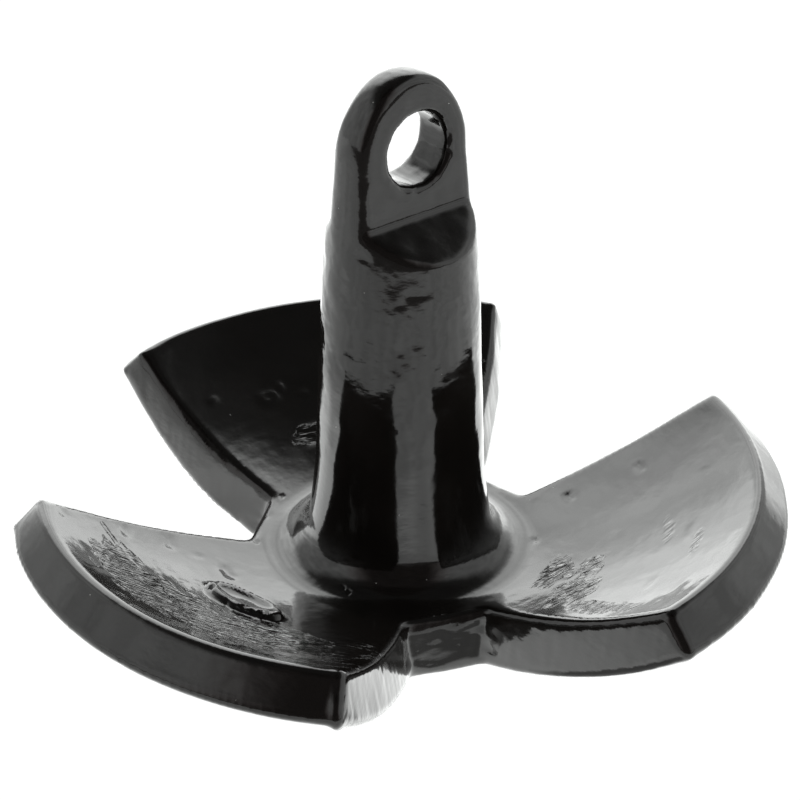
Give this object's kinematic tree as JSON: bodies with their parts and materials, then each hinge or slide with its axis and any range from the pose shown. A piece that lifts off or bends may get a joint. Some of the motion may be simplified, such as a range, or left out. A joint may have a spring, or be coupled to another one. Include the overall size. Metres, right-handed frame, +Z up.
{
  "type": "river anchor",
  "caption": "River anchor: iron shank with an eye for the rope, on a notched dish of broad flukes, dipped in black vinyl.",
  "frame": {"origin": "centre of the small flat under the crown, which the anchor stands on", "axes": "+Z up the shank's axis, Y along the eye's bore, X across the eye's flats"},
  "size_m": [0.2669, 0.2732, 0.2064],
  "materials": {
    "cast_iron": "raw sand casting, under the vinyl",
    "vinyl_coat": "glossy black dipped vinyl"
  },
  "bodies": {
    "root": {"shank": "cast_iron", "crown": "cast_iron", "fluke_front": "cast_iron", "fluke_rear": "cast_iron", "fluke_left": "cast_iron", "shank_coat": "vinyl_coat", "crown_coat": "vinyl_coat", "fluke_front_coat": "vinyl_coat", "fluke_rear_coat": "vinyl_coat", "fluke_left_coat": "vinyl_coat"}
  },
  "joints": []
}
